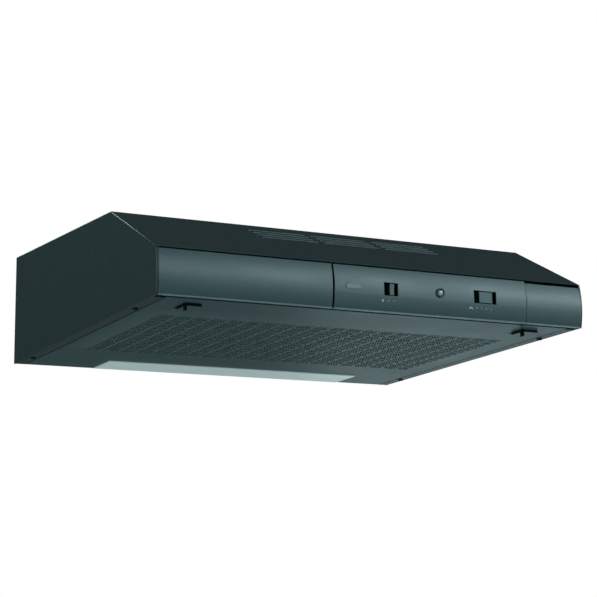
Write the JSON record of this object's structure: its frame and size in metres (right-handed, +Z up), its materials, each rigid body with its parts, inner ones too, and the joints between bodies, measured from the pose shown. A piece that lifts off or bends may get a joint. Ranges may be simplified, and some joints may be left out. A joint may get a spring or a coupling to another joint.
{
  "type": "under cabinet range hood",
  "caption": "Slim kitchen extractor hood with a sloping vented front, bowed fascia with slide controls, drop-down perforated grille, rear lamp strip and a top air outlet.",
  "frame": {"origin": "centre of the flat top face that goes up against the cabinet", "axes": "+Z up, normal to the top face; +X to the right seen from the front, along the hood's length; +Y to the wall"},
  "size_m": [0.598, 0.4976, 0.1781],
  "materials": {
    "black_paint": "satin",
    "galvanised_steel": "dull",
    "black_plastic": "satin",
    "fascia_plastic": "satin",
    "grey_plastic": "matt",
    "white_plastic": "satin",
    "clear_plastic": "satin",
    "aluminium": "satin",
    "bright_steel": "bright",
    "lamp_glass": "frosted",
    "cable_sheath": "matt",
    "fleece": "fibrous"
  },
  "bodies": {
    "casing": {"top_plate": "black_paint", "front_slope": "black_paint", "left_side_panel": "black_paint", "right_side_panel": "black_paint", "back_plate": "galvanised_steel", "front_rail": "black_paint", "fascia_left": "fascia_plastic", "control_panel": "fascia_plastic", "fascia_right": "fascia_plastic", "hinge_bracket_left": "galvanised_steel", "hinge_bracket_right": "galvanised_steel", "flange_screw_front_left": "bright_steel", "flange_screw_rear_left": "bright_steel", "flange_screw_front_right": "bright_steel", "flange_screw_rear_right": "bright_steel", "outlet_spigot": "black_plastic", "flap_pin": "bright_steel", "plenum_box": "grey_plastic", "scroll_left": "grey_plastic", "scroll_right": "grey_plastic", "motor": "aluminium", "motor_bracket": "galvanised_steel", "terminal_box": "grey_plastic", "terminal_lid": "grey_plastic", "terminal_block": "white_plastic", "cable_gland": "black_plastic", "capacitor": "white_plastic", "wiring_front": "cable_sheath", "wiring_motor": "cable_sheath", "lamp_housing": "aluminium", "lamp_holder_left": "white_plastic", "lamp_holder_right": "white_plastic", "lamp_left": "lamp_glass", "lamp_right": "lamp_glass", "light_switch": "black_plastic", "fan_switch": "black_plastic", "indicator_bezel": "black_plastic", "indicator_lens": "clear_plastic"},
    "grille": {"grille_panel": "black_paint", "lamp_lens": "clear_plastic", "grease_filter": "fleece", "hinge_pin_left": "bright_steel", "hinge_pin_right": "bright_steel", "filter_strap_left": "bright_steel", "filter_strap_right": "bright_steel"},
    "left_latch": {"latch_left": "black_plastic"},
    "right_latch": {"latch_right": "black_plastic"},
    "light_slider": {"light_knob": "fascia_plastic"},
    "fan_slider": {"fan_knob": "fascia_plastic"},
    "fan_rotor": {"impeller": "black_plastic", "motor_shaft": "bright_steel"},
    "front_flap": {"non_return_flap_front": "black_plastic"},
    "rear_flap": {"non_return_flap_rear": "black_plastic"},
    "changeover": {"changeover_flap": "black_plastic"}
  },
  "joints": [
    {"name": "grille_hinge", "type": "hinge", "parent": "casing", "child": "grille", "pos_m": [0, 0.16433, -0.14243], "axis": [1, 0, 0], "range_deg": [0, 85]},
    {"name": "left_latch_slide", "type": "slide", "parent": "grille", "child": "left_latch", "axis": [0, 0.9986, -0.0527], "range_m": [0, 0.006], "stiffness_N_per_m": 300, "springref_m": -0.004},
    {"name": "right_latch_slide", "type": "slide", "parent": "grille", "child": "right_latch", "axis": [0, 0.9986, -0.0527], "range_m": [0, 0.006], "stiffness_N_per_m": 300, "springref_m": -0.004},
    {"name": "light_slide", "type": "slide", "parent": "casing", "child": "light_slider", "axis": [1, 0, 0], "range_m": [-0.008, 0.0047]},
    {"name": "fan_slide", "type": "slide", "parent": "casing", "child": "fan_slider", "axis": [1, 0, 0], "range_m": [-0.0078, 0.005]},
    {"name": "fan_spin", "type": "hinge", "parent": "casing", "child": "fan_rotor", "pos_m": [0, 0.03, -0.07], "axis": [1, 0, 0], "continuous": true},
    {"name": "front_flap_hinge", "type": "hinge", "parent": "casing", "child": "front_flap", "pos_m": [0, 0.07, 0.004], "axis": [-1, 0, 0], "range_deg": [0, 75]},
    {"name": "rear_flap_hinge", "type": "hinge", "parent": "casing", "child": "rear_flap", "pos_m": [0, 0.07, 0.004], "axis": [1, 0, 0], "range_deg": [0, 75]},
    {"name": "changeover_hinge", "type": "hinge", "parent": "casing", "child": "changeover", "pos_m": [0, 0.0065, -0.0066], "axis": [1, 0, 0], "range_deg": [0, 85]}
  ]
}
